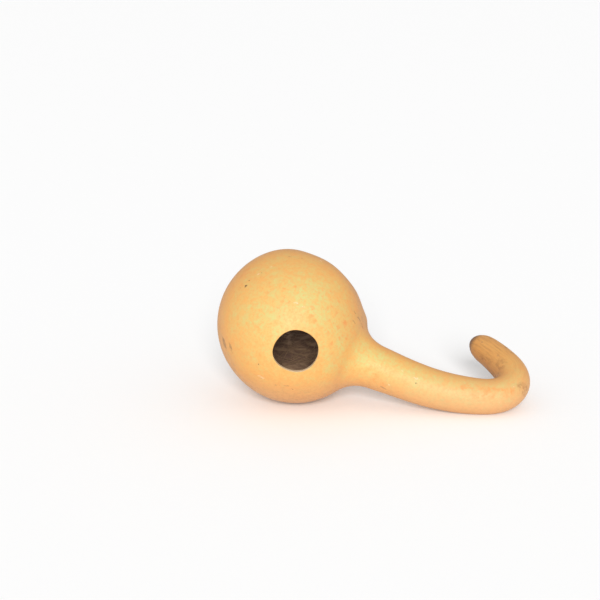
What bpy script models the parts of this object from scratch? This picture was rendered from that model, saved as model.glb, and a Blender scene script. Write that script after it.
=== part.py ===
"""Dried bottle gourd with a crooked neck and an entrance hole cut in its bulb.

The gourd lies on its side: it rests on a small flat spot under the bulb and on another
under the neck. +X runs from the bulb along the neck, +Z is up, and the origin is on the
floor below the middle of the bulb. Lengths are in metres.
"""

from math import asin, atan2, cos, exp, pi, radians, sin, sqrt

import bmesh
import bpy
from mathutils import Matrix, Vector

# Bulb
BULB_RADIUS = 0.0730
BULB_BACK = 0.0755  # from the widest ring to the blossom end
BULB_HEIGHT = 0.0732  # middle of the bulb above the floor
BULB_PITCH = radians(30.5)  # how steeply the bulb's axis points down at its middle

# Neck
NECK_RADIUS_ROOT = 0.0244  # the taper carried back to the middle of the bulb
NECK_RADIUS_TIP = 0.0131
SHOULDER_FILLET = 0.0330
LENGTH = 0.3130  # along the axis, from the middle of the bulb to the stem scar
TIP_ROUNDING = 0.0200

# Bends along the axis: length, degrees turned upwards, degrees turned to the left
BENDS = (
    (0.0600, 12.5, 0.0),  # inside the bulb
    (0.0650, 1.6, 0.0),  # shoulder and neck root
    (0.0760, 16.0, 12.0),  # neck
    (0.0515, 37.0, 109.5),  # crook
    (0.0550, 2.0, 18.0),  # hook end
)
BEND_EASE = 0.0360  # each bend fades into the next over this length

# Shell
BULB_WALL = 0.0040
NECK_WALL = 0.0040
TIP_PLUG = 0.0150  # solid end behind the stem scar

# Scars
STEM_SCAR_RADIUS = 0.0050
STEM_SCAR_DEPTH = 0.0010
STEM_SCAR_FLOOR_RADIUS = 0.0038
STEM_SCAR_CROWN = 0.0002  # how far the middle of the dished scar stands up
BLOSSOM_SCAR_RADIUS = 0.0032
BLOSSOM_SCAR_HEIGHT = 0.0003
BLOSSOM_SCAR_FACE_RADIUS = 0.0022
BLOSSOM_SCAR_CROWN = 0.0001
BLOSSOM_SCAR_SINK = 0.0001  # keeps the button's rim in the skin

# Uneven growth: the bulb is a little out of round
SWELL = 0.0006
SWELL_LOBES = 3

# Lumps and flats on the bulb: degrees from +X towards +Y, degrees up, height, spread in degrees
LUMPS = (
    (32.0, 46.0, -0.0031, 16.5),
    (58.0, 67.0, -0.0018, 13.0),
    (142.0, 70.5, 0.0019, 28.0),
    (17.0, 4.0, 0.0020, 8.0),
    (-128.0, -64.0, 0.0009, 21.0),
    (-22.0, -65.0, -0.0009, 12.0),
    (-167.0, 8.0, -0.0005, 40.0),
)
LUMP_REACH = 1.5  # the lumps end this many bulb radii from the middle of the bulb
LUMP_FADE = 0.35

# Thicker places along the neck: distance along the axis, extra radius, spread
NECK_SWELLINGS = ((0.0860, 0.0006, 0.0180), (0.2600, 0.0010, 0.0400))

# Entrance hole, cut by hand
HOLE_RADIUS = 0.0206
HOLE_AROUND = radians(17.4)  # from -Y towards +X
HOLE_UP = radians(-1.8)
HOLE_POINTS = 36

# The hole's uneven outline: waves round it, height and phase of each
HOLE_WAVES = ((2, 0.00046, 0.10), (3, 0.00028, 2.52), (4, 0.00027, -1.20))

# Finish
OUTER_AROUND = 40
INNER_AROUND = 28
RING_ARC = radians(7.5)  # between rings on the bulb
RING_STEP = 0.0075  # between rings along the neck
FILLET_RINGS = 6
TIP_RINGS = 6
INNER_TIP_RINGS = 4
WALK_STEP = 0.0010
MERGE = 0.00001
SKIN_COLOUR = (0.80, 0.52, 0.21, 1.0)
SKIN_ROUGHNESS = 0.42


def clear_scene():
    for old in list(bpy.data.objects):
        bpy.data.objects.remove(old, do_unlink=True)


def new_collection(name, hidden=False):
    collection = bpy.data.collections.new(name)
    collection.hide_render = hidden
    bpy.context.scene.collection.children.link(collection)
    return collection


def ease(t):
    t = min(max(t, 0.0), 1.0)
    return t * t * (3.0 - 2.0 * t)


def bend_rate(s):
    """Radians turned upwards and to the left for each metre of axis at s."""
    up = left = edge = 0.0
    for length, degrees_up, degrees_left in BENDS:
        share = ease((s - edge) / BEND_EASE + 0.5) - ease((s - edge - length) / BEND_EASE + 0.5)
        up += radians(degrees_up) * share / length
        left += radians(degrees_left) * share / length
        edge += length
    return up, left


def walk_axis():
    """Places along the axis, each as its point and its forward, left and up directions."""
    forward = Vector((cos(BULB_PITCH), 0.0, -sin(BULB_PITCH)))
    left = Vector((0.0, 1.0, 0.0))
    up = forward.cross(left)
    point = Vector((0.0, 0.0, BULB_HEIGHT))
    places = [(point, forward, left, up)]
    for i in range(round(LENGTH / WALK_STEP)):
        turn_up, turn_left = bend_rate((i + 0.5) * WALK_STEP)
        turn = (turn_left * up - turn_up * left) * WALK_STEP
        spin = Matrix.Rotation(turn.length, 3, turn.normalized())
        previous = forward
        forward, left, up = spin @ forward, spin @ left, spin @ up
        point = point + (previous + forward) * WALK_STEP / 2.0
        places.append((point, forward, left, up))
    return places


def place_at(places, s):
    """The axis at s. Behind the middle of the bulb it runs on straight."""
    if s <= 0.0:
        point, forward, left, up = places[0]
        return point + forward * s, forward, left, up
    index = min(int(s / WALK_STEP), len(places) - 2)
    t = s / WALK_STEP - index
    near, far = places[index], places[index + 1]
    point = near[0].lerp(far[0], t)
    return point, near[1].slerp(far[1], t), near[2].slerp(far[2], t), near[3].slerp(far[3], t)


def body_profile(inset, neck_inset, end):
    """(s, radius) of the bulb, the shoulder fillet and the tapering neck, front to back.

    inset moves the bulb and the fillet inwards, neck_inset the neck, and end is where
    the neck closes.
    """
    bulb = BULB_RADIUS - inset
    back = BULB_BACK - inset
    fillet = SHOULDER_FILLET + inset
    taper = (NECK_RADIUS_TIP - NECK_RADIUS_ROOT) / LENGTH
    root = NECK_RADIUS_ROOT - neck_inset

    # The fillet's middle lies one fillet radius off the neck and off the bulb
    stretch = sqrt(1.0 + taper * taper)
    offset = root + fillet * stretch
    half = taper * offset / stretch**2
    middle_s = -half + sqrt(half**2 - (offset**2 - (bulb + fillet) ** 2) / stretch**2)
    middle_r = offset + taper * middle_s
    bulb_turn = asin(middle_s / (bulb + fillet))
    fillet_end = middle_s + fillet * taper / stretch

    points = []
    count = round(pi / 2.0 / RING_ARC)
    for i in range(count):
        angle = pi / 2.0 * i / count
        points.append((-back * cos(angle), bulb * sin(angle)))
    count = round(bulb_turn / RING_ARC)
    for i in range(count):
        angle = bulb_turn * i / count
        points.append((bulb * sin(angle), bulb * cos(angle)))
    for i in range(FILLET_RINGS):
        angle = bulb_turn * (1.0 - i / FILLET_RINGS)
        points.append((middle_s - fillet * sin(angle), middle_r - fillet * cos(angle)))
    neck_end = end - TIP_ROUNDING
    count = round((neck_end - fillet_end) / RING_STEP)
    for i in range(count):
        s = fillet_end + (neck_end - fillet_end) * i / count
        points.append((s, root + taper * s))
    return points, root, taper, neck_end


def rounded_tip(root, taper, neck_end, reach, count):
    """The round end of the neck, up to the share of the rounding given by reach."""
    points = []
    for i in range(count + 1):
        t = reach * sin(pi / 2.0 * i / count)
        s = neck_end + t * TIP_ROUNDING
        points.append((s, (root + taper * s) * sqrt(max(1.0 - t * t, 0.0))))
    return points


def outer_profile():
    points, root, taper, neck_end = body_profile(0.0, 0.0, LENGTH)
    # The blossom scar is a small raised button in place of the point at the pole
    button = -BULB_BACK - BLOSSOM_SCAR_HEIGHT
    blossom_scar = [
        (button, 0.0),
        (button + BLOSSOM_SCAR_CROWN, BLOSSOM_SCAR_FACE_RADIUS),
        (-BULB_BACK + BLOSSOM_SCAR_SINK, BLOSSOM_SCAR_RADIUS),
    ]
    reach = sqrt(1.0 - (STEM_SCAR_RADIUS / NECK_RADIUS_TIP) ** 2)
    tip = rounded_tip(root, taper, neck_end, reach, TIP_RINGS)
    floor = neck_end + reach * TIP_ROUNDING - STEM_SCAR_DEPTH
    stem_scar = [(floor, STEM_SCAR_FLOOR_RADIUS), (floor + STEM_SCAR_CROWN, 0.0)]
    return blossom_scar + points[1:] + tip + stem_scar


def inner_profile():
    points, root, taper, neck_end = body_profile(BULB_WALL, NECK_WALL, LENGTH - TIP_PLUG)
    return points + rounded_tip(root, taper, neck_end, 1.0, INNER_TIP_RINGS)


def swell(s, across):
    """How far the skin at s stands out, on the side that across points to."""
    along = ease(1.0 - abs(s) / (BULB_RADIUS + SHOULDER_FILLET / 2.0))
    bulb = SWELL * along * cos(SWELL_LOBES * atan2(across.y, across.x))
    neck = sum(extra * exp(-(((s - at) / spread) ** 2)) for at, extra, spread in NECK_SWELLINGS)
    return bulb + neck


def lump_at(point):
    """How far the bulb's lumps and flats move a point of its skin or of its hollow."""
    out = point - Vector((0.0, 0.0, BULB_HEIGHT))
    fade = ease((LUMP_REACH - out.length / BULB_RADIUS) / LUMP_FADE)
    height = 0.0
    for degrees_around, degrees_up, size, spread in LUMPS:
        level = cos(radians(degrees_up))
        around = radians(degrees_around)
        middle = Vector((level * cos(around), level * sin(around), sin(radians(degrees_up))))
        height += size * exp(-((out.angle(middle) / radians(spread)) ** 2))
    return out.normalized() * height * fade


def turned_along_axis(name, profile, around, places, material):
    """The profile turned into a solid by a Screw, then bent along the axis."""
    mesh = bpy.data.meshes.new(name + "_profile")
    points = [(radius, 0.0, -s) for s, radius in profile]
    mesh.from_pydata(points, [(i, i + 1) for i in range(len(points) - 1)], [])
    straight = bpy.data.objects.new(name + "_profile", mesh)
    bpy.context.scene.collection.objects.link(straight)
    screw = straight.modifiers.new("Turn", "SCREW")
    screw.axis = "Z"
    screw.steps = around
    screw.render_steps = around
    screw.use_merge_vertices = True
    screw.merge_threshold = MERGE
    graph = bpy.context.evaluated_depsgraph_get()
    bent = bpy.data.meshes.new_from_object(straight.evaluated_get(graph))
    bpy.data.objects.remove(straight, do_unlink=True)
    for vertex in bent.vertices:
        across = Vector((vertex.co.x, vertex.co.y))
        s = -vertex.co.z
        point, _, left, up = place_at(places, s)
        if across.length > MERGE:
            across += across.normalized() * swell(s, across)
        skin = point + up * across.x + left * across.y
        vertex.co = skin + lump_at(skin)
    bent.name = name
    bent.materials.clear()
    bent.materials.append(material)
    bent.shade_smooth()
    return bpy.data.objects.new(name, bent)


def hole_direction():
    level = cos(HOLE_UP)
    return Vector((level * sin(HOLE_AROUND), -level * cos(HOLE_AROUND), sin(HOLE_UP)))


def hole_radius(angle):
    return HOLE_RADIUS + sum(size * cos(count * angle + phase) for count, size, phase in HOLE_WAVES)


def hole_cutter():
    """A rod with the hole's outline, through the bulb's wall."""
    curve = bpy.data.curves.new("hole_outline", "CURVE")
    curve.dimensions = "2D"
    curve.fill_mode = "BOTH"
    curve.extrude = BULB_RADIUS / 4.0
    spline = curve.splines.new("POLY")
    spline.points.add(HOLE_POINTS - 1)
    for i, point in enumerate(spline.points):
        angle = 2.0 * pi * i / HOLE_POINTS
        radius = hole_radius(angle)
        point.co = (radius * cos(angle), radius * sin(angle), 0.0, 1.0)
    spline.use_cyclic_u = True
    outline = bpy.data.objects.new("hole_outline", curve)
    bpy.context.scene.collection.objects.link(outline)
    graph = bpy.context.evaluated_depsgraph_get()
    mesh = bpy.data.meshes.new_from_object(outline.evaluated_get(graph))
    bpy.data.objects.remove(outline, do_unlink=True)
    shape = bmesh.new()
    shape.from_mesh(mesh)
    bmesh.ops.remove_doubles(shape, verts=shape.verts, dist=MERGE)
    bmesh.ops.recalc_face_normals(shape, faces=shape.faces)
    out = hole_direction()
    across = Vector((0.0, 0.0, 1.0)).cross(out).normalized()
    turn = Matrix((across, out.cross(across), out)).transposed().to_4x4()
    middle = Vector((0.0, 0.0, BULB_HEIGHT)) + out * BULB_RADIUS
    bmesh.ops.transform(shape, matrix=Matrix.Translation(middle) @ turn, verts=shape.verts)
    shape.to_mesh(mesh)
    shape.free()
    return bpy.data.objects.new("hole_cutter", mesh)


def floor_cutter():
    """Everything below the floor, which leaves the two flat spots the gourd rests on."""
    shape = bmesh.new()
    bmesh.ops.create_cube(shape, size=1.0)
    size = 3.0 * LENGTH
    bmesh.ops.scale(shape, vec=(size, size, size), verts=shape.verts)
    bmesh.ops.translate(shape, vec=(0.0, 0.0, -size / 2.0), verts=shape.verts)
    mesh = bpy.data.meshes.new("floor_cutter")
    shape.to_mesh(mesh)
    shape.free()
    return bpy.data.objects.new("floor_cutter", mesh)


def skin_material():
    material = bpy.data.materials.new("gourd_skin")
    material.use_nodes = True
    shader = material.node_tree.nodes["Principled BSDF"]
    shader.inputs["Base Color"].default_value = SKIN_COLOUR
    shader.inputs["Roughness"].default_value = SKIN_ROUGHNESS
    shader.inputs["Metallic"].default_value = 0.0
    material.diffuse_color = SKIN_COLOUR
    return material


def cut(target, cutter, collection):
    cutter.hide_render = True
    cutter.display_type = "WIRE"
    collection.objects.link(cutter)
    modifier = target.modifiers.new("Cut " + cutter.name, "BOOLEAN")
    modifier.operation = "DIFFERENCE"
    modifier.object = cutter


def build_gourd():
    parts = new_collection("Dried bottle gourd")
    cutters = new_collection("Cutters", hidden=True)
    material = skin_material()
    places = walk_axis()
    gourd = turned_along_axis("gourd", outer_profile(), OUTER_AROUND, places, material)
    parts.objects.link(gourd)
    hollow = turned_along_axis("hollow", inner_profile(), INNER_AROUND, places, material)
    cut(gourd, hollow, cutters)
    cut(gourd, hole_cutter(), cutters)
    cut(gourd, floor_cutter(), cutters)


def main():
    clear_scene()
    build_gourd()


main()
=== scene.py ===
"""Looks of the dried bottle gourd: a fine mesh of its rind, with the edge of the hole cut by
hand, the pith and fibres inside, the scars and the marks on the skin, on a plain pale floor
in soft light. Lengths are in metres, and +X runs from the bulb along the neck."""

import random
from math import asin, atan2, cos, exp, pi, radians, sin, sqrt, tau

import bmesh
import bpy
import numpy as np
from bpy.props import FloatProperty, FloatVectorProperty, IntProperty, PointerProperty
from mathutils import Matrix, Vector, noise


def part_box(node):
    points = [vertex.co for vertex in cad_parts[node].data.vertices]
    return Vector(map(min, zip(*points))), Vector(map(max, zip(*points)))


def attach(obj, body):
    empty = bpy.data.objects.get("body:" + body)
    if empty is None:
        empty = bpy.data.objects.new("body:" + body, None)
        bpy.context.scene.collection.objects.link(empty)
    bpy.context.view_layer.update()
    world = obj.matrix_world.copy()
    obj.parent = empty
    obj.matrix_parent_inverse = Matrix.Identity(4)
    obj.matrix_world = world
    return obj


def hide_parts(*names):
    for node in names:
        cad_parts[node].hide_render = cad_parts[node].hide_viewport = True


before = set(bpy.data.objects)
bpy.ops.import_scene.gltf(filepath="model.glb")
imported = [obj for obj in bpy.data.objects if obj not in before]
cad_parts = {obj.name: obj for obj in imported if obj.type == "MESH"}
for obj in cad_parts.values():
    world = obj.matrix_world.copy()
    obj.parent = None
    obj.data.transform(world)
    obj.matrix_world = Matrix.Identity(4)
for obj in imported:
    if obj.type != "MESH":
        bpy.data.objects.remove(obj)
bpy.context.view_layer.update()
LOW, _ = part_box("gourd")
MM = 0.001

bl_info = {
    "name": "Dried bottle gourd",
    "version": (1, 0, 0),
    "blender": (4, 5, 0),
    "location": "View3D > Sidebar > Gourd",
    "description": "A hollow dried gourd with a hooked neck and a hole cut in its bulb",
    "category": "Add Mesh",
}

# Bends along the axis: length, degrees turned upwards, degrees turned to the left
BENDS = (
    (0.0600, 12.5, 0.0),  # inside the bulb
    (0.0650, 1.6, 0.0),  # shoulder and neck root
    (0.0760, 16.0, 12.0),  # neck
    (0.0515, 37.0, 109.5),  # crook
    (0.0550, 2.0, 18.0),  # hook end
)
BEND_EASE = 0.0360  # each bend fades into the next over this length
WALK_STEP = 0.0010  # the axis is walked in steps this long
MERGE = 0.00001  # points this close count as one

# The bulb is a little out of round
SWELL = 0.0006
SWELL_LOBES = 3

# Lumps and flats on the bulb: degrees from +X towards +Y, degrees up, height, spread in degrees
LUMPS = (
    (32.0, 46.0, -0.0031, 16.5),
    (58.0, 67.0, -0.0018, 13.0),
    (142.0, 70.5, 0.0019, 28.0),
    (17.0, 4.0, 0.0020, 8.0),
    (-128.0, -64.0, 0.0009, 21.0),
    (-22.0, -65.0, -0.0009, 12.0),
    (-167.0, 8.0, -0.0005, 40.0),
)
LUMP_REACH = 1.5  # the lumps end this many bulb radii from the middle of the bulb
LUMP_FADE = 0.35  # and fade out over this many

# Thicker places along the neck: distance along the axis, extra radius, spread
NECK_SWELLINGS = ((0.0860, 0.0006, 0.0180), (0.2600, 0.0010, 0.0400))

TIP_EXTRA_RINGS = 4  # the rings lie closer together where the tip rounds off

# Scars at the two ends. The reach is how far from that end a scar's faces can lie.
STEM_SCAR_RADIUS = 0.0050
STEM_SCAR_DEPTH = 0.0010
STEM_SCAR_RINGS = 6
STEM_SCAR_REACH = 0.0030
BLOSSOM_SCAR_RADIUS = 0.0032
BLOSSOM_SCAR_HEIGHT = 0.0003
BLOSSOM_SCAR_REACH = 0.0010

# Rings of the blossom scar's button, from its middle: how far each one lies in from the face
# and how far out from the axis, as shares of the scar's height and radius
BLOSSOM_SCAR_RINGS = ((0.25, 0.0), (0.15, 0.35), (0.0, 0.7), (0.3, 0.85), (1.1, 1.0))

# The hole's uneven outline: waves round it, height and phase of each
HOLE_WAVES = ((2, 0.00046, 0.10), (3, 0.00028, 2.52), (4, 0.00027, -1.20))
HOLE_POINTS = 200
CHAMFER = 0.0003

# Rough side of the cut: its depth, and the share and scales of the noise round it and through it
HOLE_ROUGHNESS = 0.00012
HOLE_GRAINS = ((1.0, 3.0, 500.0), (0.7, 11.0, 900.0))

# The rod that cuts the hole: how far it runs past the wall, and its rings inside the wall
CUTTER_SPARE = 0.0060
CUTTER_MARGIN = 0.0005
CUTTER_RINGS = (0.85, 0.7, 0.55, 0.4, 0.25)  # shares of the wall below the skin

# Fine shape of the skin: how deep it lies below the ideal surface
DENT_DEPTH = 0.0004
DENT_SCALE = 22.0
DENT_FULL = 0.0200  # thinner parts than this radius have shallower dents
DIMPLE_DEPTH = 0.00012
DIMPLE_SCALE = 95.0
RIDGE_DEPTH = 0.00040  # lengthwise ridges at the hook's end
RIDGE_SCALE = 4.25
RIDGE_DRIFT = 9.0  # how fast the ridges change along the neck
RIDGE_START = 0.2350
RIDGE_FULL = 0.2900
NECK_INSET = 0.00018  # sinks the crook's skin a little, to keep it inside the gourd part's box
NECK_INSET_START = 0.1700
NECK_INSET_EASE = 0.0300
SMOOTH_SCAR = 0.2  # share of the stem scar's radius that stays smooth

# Crumpled pith on the inner wall
PITH_DEPTH = 0.0030
PITH_SCALE = 34.0
PITH_FOLDS = (0.9, 2.1, 4, 0.9, 1.6)  # roughness, step in size, layers, offset, gain
PITH_CREST = 2.6  # the value of the noise at a full fold
PITH_CLEAR = 0.0210  # no pith this near the middle of the hole
PITH_FADE = 0.0150  # the pith thins out over this width round the hole
PITH_FULL = 0.6  # full folds from this share of the bulb's radius

# Material slots of the rind, and the angle from which an edge is drawn sharp
SKIN, CUT, PITH, SCAR = range(4)
SHARP_ANGLE = radians(40.0)

# Finding each vertex's place on the straight gourd
BACK_SPARE = 0.0100  # the axis runs on this far behind the blossom end
VERTICES_AT_A_TIME = 20000

# A mark is clear inside this share of its half-width and has faded out at that share
MARK_CORE = 0.1
MARK_EDGE = 1.5

# Marks on the skin, in millimetres: where each one starts, where it ends unless it is round,
# and its half-width
FRECKLES = (
    ((15, -46, 127), (15, -46, 126), 1.6),
    ((36, -41, 121), 1.9),
    ((-9, -54, 121), 2.1),
    ((5, -50, 125), (6, -50, 125), 1.5),
    ((12, -58, 115), 1.4),
    ((2, -62, 110), (3, -62, 109), 1.3),
    ((5, -66, 103), (5, -66, 102), 1.2),
    ((34, -56, 103), 1.4),
    ((36, -57, 99), (37, -57, 98), 2.4),
    ((48, -47, 97), 1.7),
    ((52, -39, 103), (53, -39, 102), 2.0),
    ((58, -34, 92), (60, -33, 90), 3.0),
    ((54, -42, 90), (55, -42, 88), 2.2),
    ((47, -52, 87), (48, -51, 86), 2.1),
    ((56, -43, 80), (57, -42, 78), 2.0),
    ((61, -36, 78), (62, -35, 76), 1.8),
    ((50, -50, 76), (51, -49, 75), 1.7),
    ((87, -21, 38), 1.8),
)
ORANGE_PATCHES = (
    ((166, -10, 30), (186, -6, 33), 5.0),
    ((178, -8, 29), (206, 2, 27), 2.6),
    ((176, -10, 23), (198, -4, 24), 6.0),
    ((203, 0, 20), (214, 8, 27), 5.5),
    ((62, -46, 60), (66, -40, 56), 3.6),
    ((-46, -30, 125), (-36, -20, 135), 3.0),
    ((84, -21, 34), (96, -19, 28), 3.4),
)
SPECKS = (
    ((-34.6, -42.9, 121.9), (-33.8, -43.0, 123.5), 1.45),
    ((-32.3, -39.1, 127.1), 0.45),
    ((-41.0, -40.7, 120.1), 0.60),
    ((-21.6, -35.4, 134.0), (-20.4, -35.6, 134.4), 0.85),
    ((125.0, -18.1, 32.8), 0.80),
    ((-13.7, -69.9, 56.2), 0.55),
    ((14.5, -58.2, 30.1), (15.5, -58.2, 30.3), 0.60),
)
PALE_SCARS = (
    ((-25.0, -36.0, 132.6), (-23.4, -35.5, 133.4), 1.1),
    ((-14.2, -30.0, 139.1), (-13.4, -30.0, 139.2), 1.0),
    ((-17.2, -64.9, 44.0), (-9.5, -65.2, 40.4), 1.0),
    ((16.5, -56.6, 114.6), (20.5, -56.0, 113.8), 1.0),
    ((24.0, -56.6, 111.6), (27.0, -56.0, 110.4), 0.9),
    ((26.6, -2.0, 141.6), (28.4, -1.6, 140.8), 1.0),
    ((61.1, -30.5, 43.0), (61.1, -30.5, 43.4), 0.6),
    ((67.2, -26.0, 59.6), (67.2, -26.0, 60.2), 0.55),
    ((74.4, -22.2, 36.6), (74.6, -22.2, 38.8), 0.5),
    ((110.0, -15.8, 43.0), (111.6, -15.6, 42.4), 0.7),
    ((98.4, -20.2, 29.4), (101.6, -20.0, 28.4), 0.8),
    ((120.5, -16.4, 38.4), (128.5, -16.0, 35.8), 0.7),
    ((213.8, 8.3, 28.3), (213.8, 8.3, 28.6), 0.9),
    ((199.0, -2.8, 26.3), (199.4, -2.8, 26.2), 0.7),
    ((202.6, -4.5, 16.3), (202.6, -4.5, 16.6), 0.8),
)
RUBS = (
    ((-55.8, -48.8, 70.0), (-53.2, -50.6, 64.0), 3.4),
    ((-47.0, -57.0, 70.0), (-44.4, -58.4, 64.5), 2.0),
    ((174.7, 67.3, 51.0), (176.6, 66.4, 50.2), 1.3),
    ((181.5, 73.0, 53.8), (184.5, 72.6, 53.8), 1.3),
    ((198.5, 63.5, 49.2), (202.0, 61.0, 48.0), 1.7),
    ((205.7, 55.0, 46.3), (206.7, 54.0, 46.0), 1.3),
    ((194.2, 48.9, 44.7), 1.2),
    ((-3.0, -14.0, 145.6), (6.0, -12.5, 145.4), 1.0),
    ((9.0, -14.4, 144.8), (13.0, -12.0, 144.4), 1.2),
    ((62.5, -15.0, 99.0), (65.0, -13.0, 94.0), 0.9),
    ((63.0, -22.0, 92.0), (66.0, -18.0, 86.0), 0.8),
    ((66.0, -11.0, 91.5), (68.3, -6.0, 84.8), 1.0),
    ((68.3, -6.0, 84.8), (70.8, -2.9, 76.2), 0.9),
    ((-1.0, -62.6, 34.2), (5.0, -62.3, 34.1), 0.8),
    ((7.6, -62.0, 34.3), (12.5, -61.7, 34.6), 0.8),
    ((-17.5, -65.0, 42.0), (-9.5, -65.0, 38.4), 0.7),
    ((90.5, -18.8, 26.8), (96.9, -17.7, 23.3), 1.1),
)
BRUISES_AND_CREASE_SHADE = (
    ((-57.2, -47.6, 72.0), (-52.5, -51.0, 60.0), 3.4),
    ((-47.5, -57.0, 70.0), (-43.5, -58.8, 60.0), 2.2),
    ((218.0, 12.0, 27.5), (225.0, 22.0, 20.0), 6.5),
    # The next three are painted shade in the crease of the hook's inner bend
    ((195.0, 43.0, 42.0), (201.0, 36.0, 37.0), 6.0),
    ((193.0, 34.0, 33.0), (196.0, 31.0, 30.0), 3.0),
    ((176.0, 60.0, 40.0), (190.0, 48.0, 36.0), 5.0),
)

# The side that faces the key light, as a direction: the rind is painted paler towards it as painted light,
# and deeper away from it as painted shade
KEY_LIGHT_SIDE = Vector((0.20, -0.88, 0.43)).normalized()

# Loose fibres on the inner wall. A pair holds the least and the most.
FIBRES = 150
FIBRE_SEED = 11
FIBRE_STEPS = 12
FIBRE_SLANT = radians(42.0)  # most of them rise to the right, seen through the hole
FIBRE_SPREAD = radians(18.0)
FIBRE_RIGHT = (-1.1, 1.1)  # where the fibre's middle lies, seen through the hole
FIBRE_UP = (-1.2, 0.9)
FIBRE_BACK = 0.9
FIBRE_REACH = (0.25, 0.75)  # radians of the inner wall from end to end
FIBRE_TWIST = (-0.5, 0.5)
FIBRE_GAP = 0.0006  # how far its ends stand off the wall
FIBRE_LIFT = (0.0014, 0.0040)  # and how much farther its middle does
FIBRE_THICKNESS = (0.00012, 0.00036)
FIBRE_END = 0.35  # thickness at the ends, as a share of the middle's

# Where the photograph shows the middle of the bulb, in pixels of its 600 x 600 frame
FRAME_PIXELS = 600.0
BULB_PIXEL = (293.5, 326.3)
SENSOR = 36.0


def metres(name, description, default):
    return FloatProperty(name=name, description=description, default=default, unit="LENGTH")


def degrees(name, description, default):
    return FloatProperty(
        name=name, description=description, default=radians(default), subtype="ANGLE")


def colour(name, description, default):
    return FloatVectorProperty(
        name=name, description=description, default=default, size=4, subtype="COLOR", min=0.0, max=1.0)


class GourdShape(bpy.types.PropertyGroup):
    """Driving sizes of the gourd."""

    bulb_radius: metres("Bulb radius", "Radius of the bulb at its widest ring", -LOW.y)
    bulb_back: metres("Bulb back", "From the widest ring to the blossom end", 0.0755)
    bulb_height: metres("Bulb height", "Middle of the bulb above the floor", 0.0732)
    bulb_pitch: degrees("Bulb pitch", "How steeply the bulb's axis points down", 30.5)
    neck_root: metres("Neck root", "Neck radius carried back to the middle of the bulb", 0.0244)
    neck_tip: metres("Neck tip", "Neck radius at the stem scar", 0.0131)
    shoulder: metres("Shoulder", "Radius of the fillet from the bulb to the neck", 0.0330)
    length: metres("Length", "Along the axis from the middle of the bulb to the stem scar", 0.3130)
    tip_rounding: metres("Tip rounding", "Length over which the tip rounds off", 0.0200)
    wall: metres("Wall", "Thickness of the rind", 0.0040)
    tip_plug: metres("Solid tip", "Length of the solid end behind the stem scar", 0.0150)
    hole_radius: metres("Hole radius", "Mean radius of the hole", 0.0206)
    hole_around: degrees("Hole turn", "Turn of the hole from -Y towards +X", 17.4)
    hole_up: degrees("Hole rise", "Rise of the hole's axis above level", -1.8)
    outer_around: IntProperty(
        name="Steps round the skin", description="Faces round the outside", default=176)
    inner_around: IntProperty(
        name="Steps round the inside", description="Faces round the inner wall", default=144)
    outer_ring: metres("Skin ring spacing", "Distance between rings of the outside", 0.0020)
    inner_ring: metres("Inner ring spacing", "Distance between rings of the inner wall", 0.0026)


class GourdFinish(bpy.types.PropertyGroup):
    """Colours of the rind, the cut and the inside."""

    rind: colour("Rind", "Main colour of the dried rind", (0.70, 0.358, 0.102, 1.0))
    # Painted light: pale rind and straw rind are laid where the skin faces the key light, straw at the
    # middle of that side, mixed with the rind's own mottle
    pale_rind_and_light: colour("Pale rind", "Straw-coloured parts of the rind", (0.578, 0.436, 0.148, 1.0))
    straw_rind_and_light: colour("Straw rind", "The palest middle of the sunny side", (0.540, 0.474, 0.172, 1.0))
    # Deep rind: the rind's own orange-brown clouds, and also painted shade on the sides away from the key
    # light and towards the bottom
    deep_rind_and_shade: colour("Deep rind", "Orange-brown parts of the rind", (0.68, 0.285, 0.085, 1.0))
    freckle: colour("Freckles", "Soft orange freckles", (0.67, 0.255, 0.075, 1.0))
    speck: colour("Specks", "Small dark specks", (0.060, 0.035, 0.022, 1.0))
    pale_scar: colour("Pale scars", "Healed scratches", (0.78, 0.57, 0.37, 1.0))
    # Rub colour: the listed rub marks, and the smudges and scratches on the limbs, which are partly painted
    # shade there
    rub_and_shade: colour("Rub marks", "Grey-brown rubbed marks", (0.300, 0.170, 0.090, 1.0))
    # Bruise colour: bruises, streaks and cork, and also painted shade in the crease of the hook's inner
    # bend and dark grain in the painted shade of the sides
    bruise_and_shade: colour("Bruises", "Brown bruises", (0.300, 0.140, 0.055, 1.0))
    hook: colour("Hook", "Browner rind at the hook's end", (0.60, 0.290, 0.085, 1.0))
    # Dust colour: grey dust on the limbs, and also painted shade that greys the rind towards the bottom and
    # on the limbs
    dust_and_shade: colour("Dust", "Grey dust on the sides of the rind", (0.52, 0.400, 0.270, 1.0))
    cut: colour("Cut edge", "Fresh cream edge of the hole", (0.82, 0.57, 0.32, 1.0))
    pith: colour("Pith", "Dry pith on the inner wall", (0.400, 0.252, 0.152, 1.0))
    pith_dark: colour("Dark pith", "Folds of the pith", (0.185, 0.110, 0.078, 1.0))
    # Painted light: this paler pith is laid higher up inside, where the inner wall lies in shade
    pith_painted_light: colour("Clean pith", "Pith higher up, where no dust settles", (0.84, 0.62, 0.50, 1.0))
    fibre: colour("Fibres", "Loose fibres on the inner wall", (0.330, 0.215, 0.125, 1.0))
    scar: colour("Stem scar", "Corky stem scar", (0.110, 0.058, 0.030, 1.0))
    roughness: FloatProperty(
        name="Roughness", description="Roughness of the rind", default=0.50, min=0.0, max=1.0)


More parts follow.
